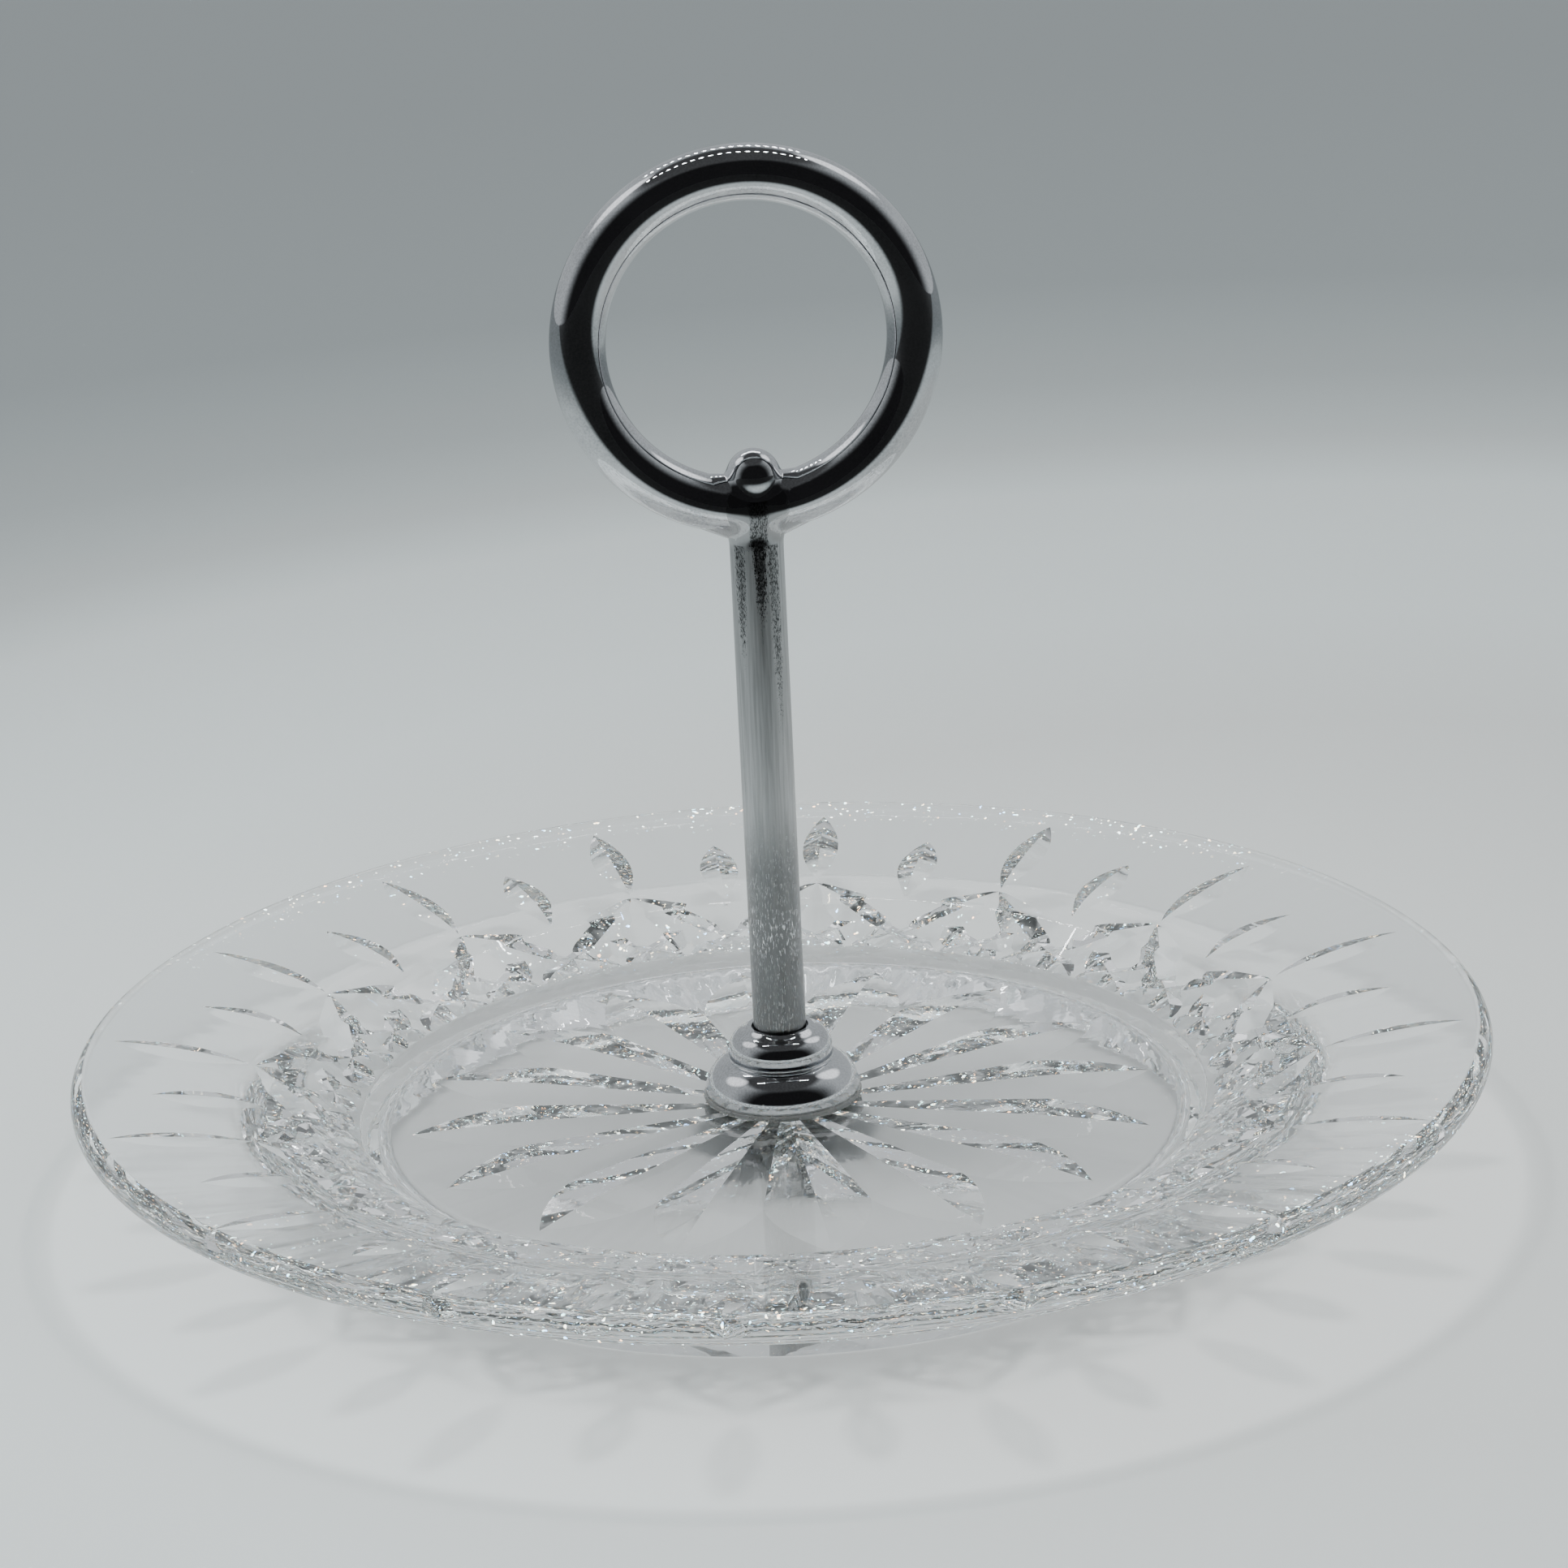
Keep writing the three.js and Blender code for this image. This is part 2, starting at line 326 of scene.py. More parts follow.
def star_ray(angle):
    """A ray of the star. It widens from the middle, so that neighbours meet in a ridge, then narrows."""
    steps = 26
    start = HOLE_RADIUS + 0.3
    path = []
    for i in range(steps + 1):
        r = start + (STAR_TIP - start) * i / steps
        if r < STAR_WIDEST:
            depth = STAR_DEPTH * r / STAR_WIDEST
        else:
            depth = STAR_DEPTH * (1 - ((r - STAR_WIDEST) / (STAR_TIP - STAR_WIDEST)) ** 2)
        place = Vector((r * math.cos(angle), r * math.sin(angle), WELL_UNDERSIDE))
        path.append((place, Vector((0, 0, -1)), depth))
    return groove(path, STAR_SLOPE, 0.08)


def cutter(name, grooves):
    """One object from several grooves that don't touch each other."""
    points, faces = [], []
    for some_points, some_faces in grooves:
        first = len(points)
        points += some_points
        faces += [tuple(first + v for v in face) for face in some_faces]
    return mesh_object(name, points, faces)


def outward(piece):
    """Turns the faces of a closed mesh outwards."""
    mesh = bmesh.new()
    mesh.from_mesh(piece.data)
    bmesh.ops.recalc_face_normals(mesh, faces=mesh.faces)
    if mesh.calc_volume(signed=True) < 0:
        bmesh.ops.reverse_faces(mesh, faces=mesh.faces)
    mesh.to_mesh(piece.data)
    mesh.free()
    return piece


def cut(piece, tool, finish):
    """Cuts the tool out of the piece. Faces that the cut leaves get the material with this index."""
    outward(tool)
    for material in piece.data.materials:
        tool.data.materials.append(material)
    tool.data.polygons.foreach_set("material_index", [finish] * len(tool.data.polygons))
    modifier = piece.modifiers.new("cut", "BOOLEAN")
    modifier.operation = "DIFFERENCE"
    modifier.solver = "MANIFOLD"
    modifier.object = tool
    result = bpy.data.meshes.new_from_object(piece.evaluated_get(bpy.context.evaluated_depsgraph_get()))
    piece.modifiers.remove(modifier)
    piece.data = result
    bpy.data.objects.remove(tool)


def plate_piece(polished, wheel_cut):
    outline = rounded(plate_corners())
    plate = outward(turned("cut_glass_plate", outline, PLATE_STEPS))
    plate.data.materials.append(polished)
    plate.data.materials.append(wheel_cut)
    curve = side_curve(outline)
    rays = [k * SECTOR for k in range(SECTORS)]
    between = [a + SECTOR / 2 for a in rays]
    main = {"start": 82.2, "end": 68.5, "turn": math.radians(17.3), "depth": 1.5}
    second = {"start": 77.1, "end": 68.8, "turn": math.radians(10.5), "depth": 1.1}
    tools = [
        [leaf(curve, a, **OUTER_LEAF) for a in between],
        [leaf(curve, a, **INNER_LEAF) for a in rays],
    ]
    for hand in (1, -1):
        tools.append([band_cut(curve, a, hand, **main) for a in between])
        tools.append([band_cut(curve, a + hand * math.radians(6.4), -hand, **second) for a in between])
    tools += [[star_ray(a) for a in rays[first::2]] for first in (0, 1)]
    for i, grooves in enumerate(tools):
        cut(plate, cutter(f"tool_{i}", grooves), 1)
    polish_normals(plate, outline)
    return plate


def outline_normals(points, outline):
    """How far each (radius, height) point is from the outline, and the outline's normal beside it."""
    a = np.array(outline)
    b = np.roll(a, -1, axis=0)
    edge = b - a
    edge /= np.linalg.norm(edge, axis=1)[:, None]
    face_normal = np.stack([edge[:, 1], -edge[:, 0]], 1)
    corner = face_normal + np.roll(face_normal, 1, axis=0)
    corner /= np.linalg.norm(corner, axis=1)[:, None]
    best = np.full(len(points), 1e9)
    found = np.zeros((len(points), 2))
    for i in range(len(a)):
        j = (i + 1) % len(a)
        span = np.linalg.norm(b[i] - a[i])
        t = np.clip((points - a[i]) @ edge[i] / span, 0, 1)
        away = np.linalg.norm(points - a[i] - np.outer(t * span, edge[i]), axis=1)
        flat = span > 2  # a long stretch of outline is straight, and its normal is its own
        start = face_normal[i] if flat else corner[i]
        end = face_normal[i] if flat else corner[j]
        nearer = away < best - 1e-7
        best = np.where(nearer, away, best)
        found[nearer] = (start + np.outer(t, end - start))[nearer]
    found /= np.linalg.norm(found, axis=1)[:, None]
    return best, found


def polish_normals(plate, outline):
    """Gives the turned surface the exact normals of its outline, so that the cuts leave it unrippled."""
    mesh = plate.data
    smooth(plate, 7)
    mesh.update()
    normals = np.empty(len(mesh.loops) * 3, np.float32)
    mesh.corner_normals.foreach_get("vector", normals)
    normals = normals.reshape(-1, 3)
    vertices = np.empty(len(mesh.vertices) * 3)
    mesh.vertices.foreach_get("co", vertices)
    vertices = vertices.reshape(-1, 3) / MM
    loop_vertex = np.empty(len(mesh.loops), np.int64)
    mesh.loops.foreach_get("vertex_index", loop_vertex)
    finish = np.repeat([p.material_index for p in mesh.polygons], [p.loop_total for p in mesh.polygons])
    radius = np.hypot(vertices[:, 0], vertices[:, 1])
    away, found = outline_normals(np.stack([radius, vertices[:, 2]], 1), outline)
    unit = vertices[:, :2] / np.maximum(radius, 1e-9)[:, None]
    exact = np.stack([found[:, 0] * unit[:, 0], found[:, 0] * unit[:, 1], found[:, 1]], 1)
    turned_corner = (finish == 0) & (away[loop_vertex] < 0.02)
    normals[turned_corner] = exact[loop_vertex][turned_corner]
    mesh.normals_split_custom_set(normals.tolist())


# ---- The handle ----


def blend_union(a, b, reach):
    """The distance to two shapes joined with a soft fillet, and how strongly the fillet acts there."""
    near = max(reach - abs(a - b), 0) / reach
    return min(a, b) - near**3 * reach / 6, near


class Ring:
    """The ring of round rod, and its junctions with the stem and the bead."""

    def __init__(self):
        low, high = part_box("handle_ring")
        self.rod = (high.y - low.y) / 2 / MM
        self.radius = (high.x - low.x) / 2 / MM - self.rod
        self.height = (low.z + high.z) / 2 / MM
        self.low = self.height - self.radius

    def distance(self, p):
        across = math.hypot(p.x, p.z - self.height) - self.radius
        return math.hypot(across, p.y) - self.rod

    def drawn_in(self, row):
        """This row of points drawn in towards the middle of the rod, where no one sees it."""
        return [tuple(Vector(p) * 0.6 + Vector((0, 0, self.low)) * 0.4) for p in row]


def march(origin, direction, field, start, end):
    """Where the ray leaves a solid, found by halving."""
    for _ in range(40):
        middle = (start + end) / 2
        if field(origin + direction * middle) < 0:
            start = middle
        else:
            end = middle
    return origin + direction * start


def ring_piece(ring):
    steps, sides = 256, 64
    rows = []
    for i in range(steps):
        a = 2 * math.pi * i / steps
        row = []
        for k in range(sides):
            b = 2 * math.pi * k / sides
            r = ring.radius + ring.rod * math.cos(b)
            row.append((r * math.cos(a), ring.rod * math.sin(b), ring.height + r * math.sin(a)))
        rows.append(row)
    return smooth(outward(loop_solid("ring_rod", rows)), 60)


def stem_piece(ring):
    """The rod, with a flare of braze where it meets the ring."""
    low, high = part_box("stem")
    radius = (high.x - low.x) / 2 / MM
    base = low.z / MM
    chamfer = 0.4
    reach = 2.8
    sides = 96
    turn_height = ring.low - ring.rod - JOINT_DEPTHS[0]

    def field(p):
        return blend_union(math.hypot(p.x, p.y) - radius, ring.distance(p), reach)[0]

    def influence(p):
        return blend_union(math.hypot(p.x, p.y) - radius, ring.distance(p), reach)[1]

    angles = [2 * math.pi * k / sides for k in range(sides)]
    rows = []
    for r, z in ((radius - chamfer, base), (radius, base + chamfer)):
        rows.append([(r * math.cos(a), r * math.sin(a), z) for a in angles])
    straight = 24
    for i in range(1, straight + 1):
        z = base + chamfer + (turn_height - base - chamfer) * i / straight
        row = []
        for a in angles:
            direction = Vector((math.cos(a), math.sin(a), 0))
            row.append(tuple(march(Vector((0, 0, z)), direction, field, radius - 1, radius + 4)))
        rows.append(row)
    lifts = 30
    origin = Vector((0, 0, turn_height))
    steepest = []
    for a in angles:
        for lift in np.radians(np.arange(15, 62, 1.0)):
            direction = from_level(a, lift)
            place = march(origin, direction, field, 2, 16)
            if ring.distance(place) < math.hypot(place.x, place.y) - radius and influence(place) < FILLET_END:
                break
        steepest.append(lift)
    for i in range(1, lifts + 1):
        row = []
        for a, most in zip(angles, steepest):
            lift = most * i / lifts
            direction = from_level(a, lift)
            row.append(tuple(march(origin, direction, field, 2, 16)))
        rows.append(row)
    rows.append(ring.drawn_in(rows[-1]))
    return smooth(outward(grid_solid("stem_rod", rows)), 40)


def bead_piece(ring):
    """The ball inside the ring, with a thin line of braze round its foot."""
    low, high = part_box("bead")
    radius = (high.y - low.y) / 2 / MM
    centre = Vector((0, 0, high.z / MM - radius))
    reach = 2.2
    sides = 96

    def parts(p):
        return (p - centre).length - radius, ring.distance(p)

    def field(p):
        return blend_union(*parts(p), reach)[0]

    rows = []
    angles = [2 * math.pi * k / sides for k in range(sides)]
    lowest = []
    for a in angles:
        for polar in np.radians(np.arange(60, 178, 1.0)):
            direction = from_top(a, polar)
            place = march(centre, direction, field, 1, 12)
            ball, rod = parts(place)
            if rod < ball and blend_union(ball, rod, reach)[1] < FILLET_END:
                break
        lowest.append(polar)
    steps = 56
    for i in range(1, steps + 1):
        row = []
        for a, most in zip(angles, lowest):
            polar = most * i / steps
            direction = from_top(a, polar)
            row.append(tuple(march(centre, direction, field, 1, 12)))
        rows.append(row)
    rows.append(ring.drawn_in(rows[-1]))
    return smooth(outward(grid_solid("bead_ball", rows)), 60)


def collar_piece():
    """A thin double dome. Its proportions follow the frame's collar."""
    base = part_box("collar")[0].z / MM
    lower, lower_dome, lower_foot = 11.75, 4.85, 0.5
    upper, upper_dome, upper_middle = 7.9, 3, 6.9
    top = 10.4
    wall = 1.0
    bore = 4.3
    floor_bore = 2.8
    corners = [
        (lower - wall, base, 0.2),
        (lower - 0.15, base, 0.12),
        (lower, base + lower_foot, 0),
    ]
    for degrees in range(6, 79, 6):
        a = math.radians(degrees)
        r = lower - lower_dome + lower_dome * math.cos(a)
        corners.append((r, base + lower_foot + lower_dome * math.sin(a), 0))
    corners += [(7.35, base + 5.55, 0.35)]
    for degrees in range(-24, 73, 6):
        a = math.radians(degrees)
        r = upper - upper_dome + upper_dome * math.cos(a)
        corners.append((r, base + upper_middle + upper_dome * math.sin(a), 0))
    corners += [
        (5.3, base + top - 0.25, 0.4),
        (5.0, base + top, 0.15),
        (bore, base + top, 0.15),
        (bore, base + 8.6, 0),
        (floor_bore, base + 8.6, 0),
        (floor_bore, base + 7.6, 0),
        (5.9, base + 7.6, 0.3),
        (6.3, base + 4.3, 1.0),
        (lower - wall - 0.1, base + 0.6, 1.5),
    ]
    return smooth(outward(turned("domed_collar", rounded(corners, step=math.radians(8)), 160)), 35)


# ---- Washers, nut and stud ----


def washer_piece(name, node, bore, edge):
    low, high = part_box(node)
    outer = high.x / MM
    base, top = low.z / MM, high.z / MM
    corners = [(bore, base, edge / 2), (outer, base, edge), (outer, top, edge), (bore, top, edge / 2)]
    return smooth(outward(turned(name, rounded(corners, step=math.radians(18)), 128)), 40)


def nut_piece():
    """A hexagon nut, its corners turned off at 30 degrees and its hole countersunk."""
    low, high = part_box("nut")
    base, top = low.z / MM, high.z / MM
    flat = min(high.x - low.x, high.y - low.y) / 2 / MM
    face = flat - 0.08
    bore = 2.75
    countersink = 0.4
    steps = 144
    angles = [2 * math.pi * k / steps for k in range(steps)]

    def circle(radius, z):
        return [(radius * math.sin(a), radius * math.cos(a), z) for a in angles]

    def hexagon(z, inward):
        row = []
        for a in angles:
            side = flat / math.cos(a % (math.pi / 3) - math.pi / 6)
            drop = (side - face) * math.tan(math.radians(30))
            row.append((side * math.sin(a), side * math.cos(a), z + inward * drop))
        return row

    rows = [
        circle(bore, base + countersink),
        circle(bore + countersink, base),
        circle(face, base),
        hexagon(base, 1),
        hexagon(top, -1),
        circle(face, top),
        circle(bore + countersink, top),
        circle(bore, top - countersink),
    ]
    return smooth(outward(loop_solid("hex_nut", rows)), 25)


def stud_piece():
    """The threaded stud: a helical V thread of 0.8 mm pitch."""
    low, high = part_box("threaded_stud")
    radius = (high.y - low.y) / 2 / MM
    base, top = low.z / MM, high.z / MM
    pitch, depth = 0.8, 0.45
    sides = 48
    per_pitch = 8
    count = int((top - base) / pitch * per_pitch)
    rows = []
    for i in range(count + 1):
        z = base + (top - base) * i / count
        row = []
        for k in range(sides):
            a = 2 * math.pi * k / sides
            phase = ((z - base) / pitch - k / sides) % 1
            r = radius - depth * abs(2 * phase - 1)
            r = min(r, radius - 0.5 + (z - base), radius - 0.5 + (top - z))
            row.append((r * math.cos(a), r * math.sin(a), z))
        rows.append(row)
    return smooth(outward(grid_solid("screw_stud", rows)), 30)


# ---- Materials ----


class Nodes:
    """A short way to write a node tree."""

    def __init__(self, tree):
        self.tree = tree
        tree.nodes.clear()

    def add(self, kind, inputs=None, **settings):
        node = self.tree.nodes.new(kind)
        for key, value in settings.items():
            setattr(node, key, value)
        for key, value in (inputs or {}).items():
            if isinstance(value, bpy.types.NodeSocket):
                self.tree.links.new(value, node.inputs[key])
            else:
                node.inputs[key].default_value = value
        return node

    def math(self, operation, a, b=0.5, clamp=False):
        return self.add("ShaderNodeMath", {0: a, 1: b}, operation=operation, use_clamp=clamp).outputs[0]

    def ramp(self, value, stops):
        """A colour or grey ramp. Each stop is a position and a grey level or a colour."""
        node = self.add("ShaderNodeValToRGB", {0: value})
        ramp = node.color_ramp
        for i, (position, colour) in enumerate(stops):
            stop = ramp.elements[i] if i < 2 else ramp.elements.new(position)
            stop.position = position
            stop.color = (*colour, 1) if isinstance(colour, tuple) else (colour, colour, colour, 1)
        return node.outputs[0]

    def step(self, value, low, high):
        """A soft step: 0 at low, 1 at high. It falls where low is the greater."""
        inputs = {"Value": value, "From Min": low, "From Max": high}
        return self.add("ShaderNodeMapRange", inputs, interpolation_type="SMOOTHSTEP").outputs[0]

    def mix(self, amount, a, b):
        """A mix of two colours."""
        inputs = {0: amount, 6: self.colour(a), 7: self.colour(b)}
        return self.add("ShaderNodeMix", inputs, data_type="RGBA").outputs[2]

    def colour(self, value):
        return (*value, 1) if isinstance(value, tuple) else value

    def towards(self, direction, aim, widest, narrowest):
        """1 within the narrower angle of the aim, falling to 0 at the wider one. Angles in degrees."""
        unit = Vector(aim).normalized()
        inputs = {0: direction, 1: tuple(unit)}
        cosine = self.add("ShaderNodeVectorMath", inputs, operation="DOT_PRODUCT").outputs["Value"]
        return self.step(cosine, math.cos(math.radians(widest)), math.cos(math.radians(narrowest)))

    def stretched(self, place, along_z):
        """The place with its height scaled, which draws a pattern out along Z."""
        return self.add("ShaderNodeMapping", {"Vector": place, "Scale": (1, 1, along_z)}).outputs[0]

    def noise(self, place, scale, detail=3.0, roughness=0.5):
        inputs = {"Vector": place, "Scale": scale, "Detail": detail, "Roughness": roughness}
        return self.add("ShaderNodeTexNoise", inputs).outputs[0]


def new_material(name):
    material = bpy.data.materials.new(name)
    material.use_nodes = True
    return material, Nodes(material.node_tree)


def last_bounce(nodes):
    """1 where a ray has used up its bounces inside the glass and would come back black."""
    path = nodes.add("ShaderNodeLightPath").outputs
    mirrored = nodes.math("GREATER_THAN", path["Glossy Depth"], 3.5)
    return nodes.math("MAXIMUM", mirrored, nodes.math("GREATER_THAN", path["Ray Depth"], 11.5))


def painted_flash_colour(nodes, place):
    """Painted light: the colour of a lamp, more or less split into colours."""
    ends = [(0.28, (7, 3.6, 1.8)), (0.70, (2.2, 4.2, 7.5))]
    middle = [(0.40, (6, 5.8, 4.0)), (0.5, (5.6, 6, 6)), (0.60, (3.4, 6.2, 5.8))]
    return nodes.ramp(nodes.noise(place, 700, 0.0), ends + middle)


def painted_tent_glow(nodes, place):
    """Painted light that the glass glows with after a ray's last bounce: greys of the tent and a few lamps,
    split into colours.
    """
    greys = nodes.noise(place, 260, 1.0)
    ends = [(0.36, (0.03, 0.033, 0.033)), (0.72, (0.37, 0.395, 0.40))]
    tent = nodes.ramp(greys, ends + [(0.5, (0.072, 0.078, 0.079))])
    spots = nodes.step(nodes.noise(place, 1300, 0.0), 0.76, 0.775)
    return nodes.mix(spots, tent, painted_flash_colour(nodes, place))


def painted_sparks(nodes, place, radius, inner):
    """Painted sparks: tiny glowing spots that stand in for the glass throwing a lamp straight at the eye.

    They lie beyond this inner radius, at the front and at the back.
    """
    path = nodes.add("ShaderNodeLightPath").outputs
    first = nodes.math("LESS_THAN", path["Ray Depth"], 2.5)
    beyond = nodes.math("GREATER_THAN", radius, inner * MM)
    y = nodes.math("ABSOLUTE", nodes.add("ShaderNodeSeparateXYZ", {0: place}).outputs[1])
    beyond = nodes.math("MULTIPLY", beyond, nodes.step(y, 0.035, 0.075))
    spots = nodes.step(nodes.noise(place, 1000, 1.0), 0.71, 0.725)
    return nodes.math("MULTIPLY", spots, nodes.math("MULTIPLY", first, beyond))


def glass_material(name, ripple_scale, painted_sparks_from):
    """Clear lead crystal with a trace of surface ripple.

    Where rays bounce too often inside it, it glows with painted light, the greys of the tent and a few lamps.
    Painted sparks glow near its rim and cuts. Lamps shine straight through it,
    less so where the surface is steep, which draws the rim and the cuts as a faint shadow.
    """
    material, nodes = new_material(name)
    place = nodes.add("ShaderNodeTexCoord").outputs["Object"]
    waves = nodes.noise(place, ripple_scale, 2.0)
    bump = nodes.add("ShaderNodeBump", {"Height": waves, "Strength": 0.03, "Distance": 0.0002}).outputs[0]
    flat_place = nodes.add("ShaderNodeVectorMath", {0: place, 1: (1, 1, 0)}, operation="MULTIPLY").outputs[0]
    radius = nodes.add("ShaderNodeVectorMath", {0: flat_place}, operation="LENGTH").outputs["Value"]
    painted_glint = painted_sparks(nodes, place, radius, painted_sparks_from)
    # The glass glows with painted light: the tent's greys where rays run out of bounces, and painted sparks.
    crystal = nodes.add(
        "ShaderNodeBsdfPrincipled",
        {
            "Base Color": (0.985, 0.995, 1.0, 1),
            "Roughness": 0.0,
            "IOR": 1.545,
            "Transmission Weight": 1.0,
            "Normal": bump,
            "Emission Color": nodes.mix(painted_glint, painted_tent_glow(nodes, place), painted_flash_colour(nodes, place)),
            "Emission Strength": nodes.math("MAXIMUM", last_bounce(nodes), painted_glint),
        },
    )
    steep = nodes.add("ShaderNodeLayerWeight", {"Blend": 0.5}).outputs["Facing"]
    shade = nodes.ramp(steep, [(0.0, 1.0), (0.6, 0.35), (0.035, 0.96), (0.14, 0.70)])
    gathered = nodes.ramp(radius, [(WELL_CORNER * MM, 0.92), (WALL_CORNER[0] * MM, 1.20)])
    passed = nodes.add("ShaderNodeVectorMath", {0: shade, 1: gathered}, operation="MULTIPLY").outputs[0]
    clear = nodes.add("ShaderNodeBsdfTransparent", {"Color": passed})
    shadow = nodes.add("ShaderNodeLightPath").outputs["Is Shadow Ray"]
    surface = nodes.add("ShaderNodeMixShader", {0: shadow, 1: crystal.outputs[0], 2: clear.outputs[0]})
    nodes.add("ShaderNodeOutputMaterial", {"Surface": surface.outputs[0]})
    return material


def vinyl_material():
    """Soft clear vinyl, clouded by age."""
    material, nodes = new_material("cloudy_vinyl")
    place = nodes.add("ShaderNodeTexCoord").outputs["Object"]
    cloud = nodes.noise(place, 350, 4.0)
    colour = nodes.ramp(cloud, [(0.3, (0.86, 0.87, 0.84)), (0.7, (0.95, 0.96, 0.95))])
    roughness = nodes.ramp(cloud, [(0.3, 0.18), (0.7, 0.34)])
    shader = nodes.add(
        "ShaderNodeBsdfPrincipled",
        {"Base Color": colour, "Roughness": roughness, "IOR": 1.5, "Transmission Weight": 0.85},
    )
    nodes.add("ShaderNodeOutputMaterial", {"Surface": shader.outputs[0]})
    return material


def chrome_material():
    """Bright chrome plate with fine, patchy wear."""
    material, nodes = new_material("bright_chrome_plate")
    place = nodes.add("ShaderNodeTexCoord").outputs["Object"]
    specks = nodes.noise(place, 3000, 4.0, 0.6)
    patches = nodes.noise(place, 90, 3.0)
    wear = nodes.math("MULTIPLY", specks, patches)
    roughness = nodes.ramp(wear, [(0.12, 0.01), (0.42, 0.06)])
    colour = nodes.ramp(wear, [(0.15, (0.74, 0.75, 0.77)), (0.42, (0.46, 0.47, 0.48))])
    bump = nodes.add("ShaderNodeBump", {"Height": specks, "Strength": 0.06, "Distance": 0.00002}).outputs[0]
    shader = nodes.add(
        "ShaderNodeBsdfPrincipled",
        {"Base Color": colour, "Metallic": 1.0, "Roughness": roughness, "Normal": bump},
    )
    nodes.add("ShaderNodeOutputMaterial", {"Surface": shader.outputs[0]})
    return material


def painted_reflection_streaks(nodes, around, height, long_grain, top):
    """1 in the painted reflections: dark streaks below the ring, with ragged, speckled edges. The middle one
    runs on upwards.
    """
    ragged = nodes.math("SUBTRACT", nodes.noise(long_grain, 4500, 5.0, 0.75), 0.5)
    marks = []
    for middle, half_width, length in STEM_PAINTED_REFLECTIONS:
        away = nodes.math("SUBTRACT", around, math.radians(middle))
        side = nodes.math("DIVIDE", away, math.radians(half_width))
        down = nodes.math("DIVIDE", nodes.math("SUBTRACT", top, height), length)
        above = nodes.math("MULTIPLY", nodes.math("LESS_THAN", down, 0.0), 9.0 if middle else -1.0)
        reach = nodes.math("ADD", nodes.math("MULTIPLY", side, side), nodes.math("POWER", down, 2.0))
        reach = nodes.math("ADD", nodes.math("ADD", reach, above), nodes.math("MULTIPLY", ragged, 6.5))
        marks.append(nodes.step(reach, 1.1, 0.9))
    painted_streak = nodes.math("MAXIMUM", nodes.math("MAXIMUM", marks[0], marks[1]), marks[2])
    strength = nodes.ramp(nodes.noise(long_grain, 6000, 2.0), [(0.46, 0.30), (0.56, 0.92)])
    return nodes.math("MULTIPLY", painted_streak, strength)


def stem_sparkle(nodes, place, height, low):
    """Bright specks on the lower stem, thickest in one band."""
    share = nodes.math("SUBTRACT", height, SPECKLE_FOOT)
    share = nodes.math("DIVIDE", share, SPECKLE_SPAN, clamp=True)
    band = nodes.ramp(share, [(0.1, 0.0), (0.9, 0.0), (0.35, 0.65), (0.65, 0.65)])
    fine = nodes.noise(nodes.stretched(place, 0.16), 5600, 3.0, 0.75)
    amount = nodes.math("MULTIPLY", low, nodes.math("ADD", 0.35, band))
    return nodes.math("MULTIPLY", nodes.step(fine, 0.55, 0.63), amount)


def stem_material(ring):
    """Dull, brushed plating on the stem, darker towards its foot, with three dark streaks at its top painted
    as reflections.
    """
    material, nodes = new_material("worn_stem_plate")
    place = nodes.add("ShaderNodeTexCoord").outputs["Object"]
    x, y, z = nodes.add("ShaderNodeSeparateXYZ", {0: place}).outputs
    around = nodes.math("ARCTAN2", x, nodes.math("MULTIPLY", y, -1.0))
    height = nodes.math("MULTIPLY", z, 1 / MM)
    rod_foot = ring.low - ring.rod
    lines = nodes.noise(nodes.stretched(place, 0.03), 2600, 3.0, 0.6)
    painted_streak = painted_reflection_streaks(nodes, around, height, nodes.stretched(place, 0.4), rod_foot - STREAK_DEPTH)
    low = nodes.step(height, *DARKER_LOW_HEIGHTS)
    sparkle = stem_sparkle(nodes, place, height, low)
    joint = nodes.step(height, *(rod_foot - depth for depth in JOINT_DEPTHS))

    dull = nodes.math("ADD", nodes.math("MULTIPLY", lines, 0.12), 0.24)
    dull = nodes.math("SUBTRACT", dull, nodes.math("MULTIPLY", sparkle, 0.10))
    roughness = nodes.add("ShaderNodeMix", {0: painted_streak, 2: dull, 3: 0.05}).outputs[0]
    roughness = nodes.add("ShaderNodeMix", {0: joint, 2: roughness, 3: 0.08}).outputs[0]

    grey = nodes.ramp(lines, [(0.35, (0.46, 0.465, 0.465)), (0.65, (0.66, 0.665, 0.67))])
    grey = nodes.mix(nodes.math("MULTIPLY", low, 0.8), grey, (0.19, 0.194, 0.194))
    colour = nodes.mix(sparkle, grey, (0.92, 0.93, 0.95))
    colour = nodes.mix(joint, colour, (0.42, 0.425, 0.43))
    # Painted reflections: the streaks are painted near black, like the dark band mirrored in the ring.
    colour = nodes.mix(painted_streak, colour, (0.045, 0.045, 0.045))

    bump = nodes.add("ShaderNodeBump", {"Height": lines, "Strength": 0.3, "Distance": 0.00003}).outputs[0]
    shader = nodes.add(
        "ShaderNodeBsdfPrincipled",
        {"Base Color": colour, "Metallic": 1.0, "Roughness": roughness, "Normal": bump},
    )
    nodes.add("ShaderNodeOutputMaterial", {"Surface": shader.outputs[0]})
    return material


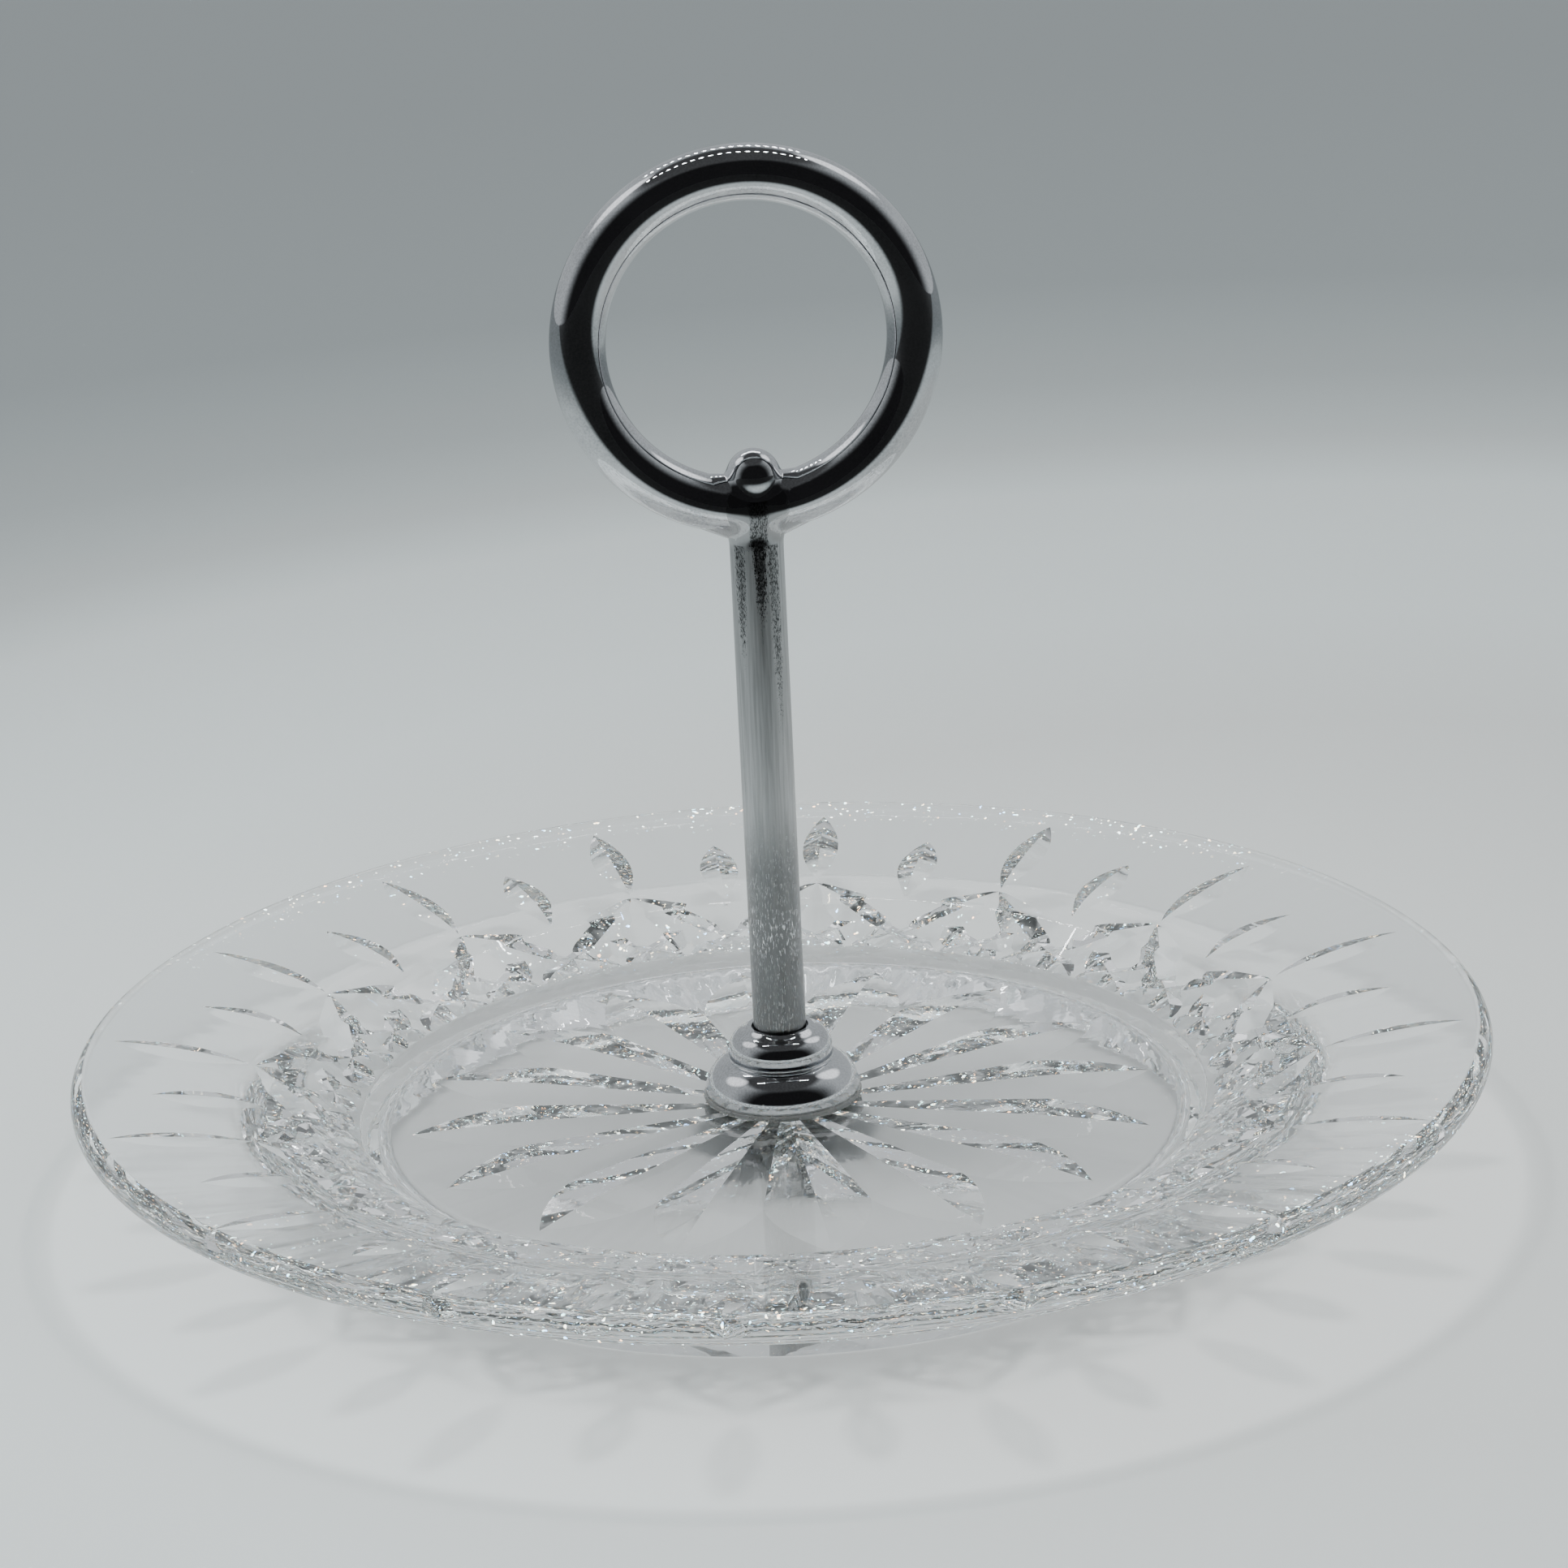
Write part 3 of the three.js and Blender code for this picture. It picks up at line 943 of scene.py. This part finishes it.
def zinc_material():
    """Dull zinc plate with turning lines and darker blotches."""
    material, nodes = new_material("dull_zinc")
    place = nodes.add("ShaderNodeTexCoord").outputs["Object"]
    blotches = nodes.noise(place, 400, 5.0)
    rings = nodes.add(
        "ShaderNodeTexWave",
        {"Vector": place, "Scale": 900, "Distortion": 3.0, "Detail": 2.0},
        wave_type="RINGS",
        rings_direction="Z",
    ).outputs[0]
    mixed = nodes.math("MULTIPLY", blotches, nodes.math("MULTIPLY_ADD", rings, 0.4))
    colour = nodes.ramp(blotches, [(0.3, (0.36, 0.36, 0.37)), (0.7, (0.62, 0.62, 0.61))])
    roughness = nodes.ramp(mixed, [(0.1, 0.25), (0.6, 0.5)])
    inputs = {"Base Color": colour, "Metallic": 1.0, "Roughness": roughness}
    shader = nodes.add("ShaderNodeBsdfPrincipled", inputs)
    nodes.add("ShaderNodeOutputMaterial", {"Surface": shader.outputs[0]})
    return material


# ---- Stage, light and camera ----


def mirror_ray(nodes):
    """1 for a ray that was last reflected by polished metal or by the outside of the glass."""
    path = nodes.add("ShaderNodeLightPath")
    inside = nodes.math("SUBTRACT", 1.0, path.outputs["Is Transmission Ray"])
    return nodes.math("MULTIPLY", path.outputs["Is Glossy Ray"], inside)


def floor_material():
    """A pale sweep of card with a painted pool of light: light by the object, greyer further off. In mirrors
    it is painted darker, nearly black in front.
    """
    material, nodes = new_material("pale_card")
    place = nodes.add("ShaderNodeTexCoord").outputs["Object"]
    from_light = nodes.add("ShaderNodeVectorMath", {0: place, 1: PAINTED_POOL_MIDDLE}, operation="DISTANCE")
    distance = from_light.outputs["Value"]
    grain = nodes.noise(place, 900, 2.0)
    # Painted pool of light: the floor is painted palest near the plate and greyer further off.
    shade = nodes.ramp(distance, FLOOR_PAINTED_LIGHT)
    y = nodes.add("ShaderNodeSeparateXYZ", {0: place}).outputs[1]
    # Painted shade in reflections: a mirror sees the floor about a third darker, and nearly black in front.
    unlit = nodes.math("MAXIMUM", nodes.step(y, -0.12, -0.30), 0.35)
    shade = nodes.mix(nodes.math("MULTIPLY", unlit, mirror_ray(nodes)), shade, (0.02, 0.02, 0.02))
    bump = nodes.add("ShaderNodeBump", {"Height": grain, "Strength": 0.05, "Distance": 0.0002}).outputs[0]
    shader = nodes.add("ShaderNodeBsdfPrincipled", {"Base Color": shade, "Roughness": 0.6, "Normal": bump})
    nodes.add("ShaderNodeOutputMaterial", {"Surface": shader.outputs[0]})
    return material


def make_floor():
    reach = 6000
    points = [(-reach, -reach, 0), (reach, -reach, 0), (reach, reach, 0), (-reach, reach, 0)]
    floor = mesh_object("floor", points, [(0, 1, 2, 3)])
    floor.location.z = -0.00005
    floor.data.materials.append(floor_material())


def make_small_lamps():
    """Rows of small round lamps. They show only in reflections and through the glass."""
    sides = 10
    points, faces = [], []
    for y in LAMP_ROWS:
        for i in range(LAMPS_IN_ROW):
            x = (i / (LAMPS_IN_ROW - 1) - 0.5) * LAMP_ROW_LENGTH
            faces.append(tuple(range(len(points), len(points) + sides)))
            for k in range(sides):
                a = 2 * math.pi * k / sides
                points.append((x + LAMP_RADIUS * math.cos(a), y + LAMP_RADIUS * math.sin(a), LAMP_HEIGHT))
    lamps = mesh_object("small_lamps", points, faces)
    material, nodes = new_material("lamp_glow")
    glow = nodes.add("ShaderNodeEmission", {"Color": (0.97, 0.98, 1.0, 1), "Strength": LAMP_GLOW})
    nodes.add("ShaderNodeOutputMaterial", {"Surface": glow.outputs[0]})
    material.cycles.emission_sampling = "NONE"
    lamps.data.materials.append(material)
    lamps.visible_camera = False
    lamps.visible_diffuse = False
    lamps.visible_shadow = False


def tent_light(nodes, direction, front, back, ceiling, turn):
    """The inside of the tent by three greys: its open front, its back wall and its ceiling.

    The turn from front to back lies between these two shares of +Y.
    """
    y, z = nodes.add("ShaderNodeSeparateXYZ", {0: direction}).outputs[1:]
    light = nodes.mix(nodes.step(y, *turn), front, back)
    light = nodes.mix(nodes.step(z, *CEILING_EDGE), light, ceiling)
    for aim in SIDE_PANELS:
        light = nodes.mix(nodes.towards(direction, aim, *PANEL_EDGE), light, PANEL_GLOW)
    return light


def make_world():
    """A light tent with an open front, which mirrors show black. The floor is lit evenly."""
    world = bpy.data.worlds.new("light_tent")
    bpy.context.scene.world = world
    world.use_nodes = True
    world.cycles.sampling_method = "NONE"
    nodes = Nodes(world.node_tree)
    direction = nodes.add("ShaderNodeTexCoord").outputs["Generated"]
    through_glass = tent_light(nodes, direction, *GLASS_TENT)
    mirrored = tent_light(nodes, direction, *MIRROR_TENT)
    seen = nodes.mix(mirror_ray(nodes), through_glass, mirrored)
    diffuse = nodes.add("ShaderNodeLightPath").outputs["Is Diffuse Ray"]
    seen = nodes.mix(diffuse, seen, FLOOR_LIGHT)
    shader = nodes.add("ShaderNodeBackground", {"Color": seen, "Strength": 1.0})
    nodes.add("ShaderNodeOutputWorld", {"Surface": shader.outputs[0]})


def make_softbox(name, place, aim, width, depth, power):
    light = bpy.data.lights.new(name, "AREA")
    light.shape = "RECTANGLE"
    light.size = width
    light.size_y = depth
    light.energy = power
    lamp = bpy.data.objects.new(name, light)
    bpy.context.scene.collection.objects.link(lamp)
    lamp.location = place
    lamp.rotation_euler = (Vector(aim) - Vector(place)).to_track_quat("-Z", "Y").to_euler()
    lamp.visible_camera = False
    lamp.visible_glossy = False
    lamp.visible_transmission = False


def make_camera():
    """A long lens that looks down at 18 degrees, from six degrees to one side of square to the ring."""
    place = Vector((-66.1, -628.6, 267.5)) * MM
    aim = Vector((2.36, -0.26, 62.4)) * MM
    roll = math.radians(-2.70)
    camera = bpy.data.cameras.new("camera")
    camera.lens = 101.8
    camera.sensor_width = 36
    camera.clip_start = 0.05
    camera.clip_end = 50
    holder = bpy.data.objects.new("camera", camera)
    bpy.context.scene.collection.objects.link(holder)
    level = (aim - place).to_track_quat("-Z", "Y").to_matrix()
    holder.matrix_world = Matrix.Translation(place) @ (level @ Matrix.Rotation(roll, 3, "Z")).to_4x4()
    bpy.context.scene.camera = holder


# ---- Assembly ----


def finish_piece(piece, node, body, material=None):
    if material:
        piece.data.materials.append(material)
    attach(piece, body)
    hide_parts(node)


make_camera()
make_floor()
make_world()
make_small_lamps()
make_softbox("overhead", place=(0, 0, 0.33), aim=(0, 0, 0), width=0.06, depth=0.06, power=0.8)

bright = chrome_material()
zinc = zinc_material()
vinyl = vinyl_material()

polished = glass_material("polished_crystal", ripple_scale=60, painted_sparks_from=102.5)
wheel_cut = glass_material("wheel_cut_crystal", ripple_scale=700, painted_sparks_from=67.0)
plate = plate_piece(polished, wheel_cut)
finish_piece(plate, "plate", "plate")

ring = Ring()
worn = stem_material(ring)
finish_piece(ring_piece(ring), "handle_ring", "handle", bright)
finish_piece(bead_piece(ring), "bead", "handle", bright)
finish_piece(stem_piece(ring), "stem", "handle", worn)
finish_piece(stud_piece(), "threaded_stud", "handle", zinc)
finish_piece(collar_piece(), "collar", "collar", bright)

for name, node in (("upper_cushion", "top_cushion_washer"), ("lower_cushion", "lower_cushion_washer")):
    finish_piece(washer_piece(name, node, WASHER_BORE, 0.25), node, "plate", vinyl)
flat_washer = washer_piece("flat_washer", "steel_washer", WASHER_BORE, 0.15)
finish_piece(flat_washer, "steel_washer", "plate", zinc)
finish_piece(nut_piece(), "nut", "plate", zinc)
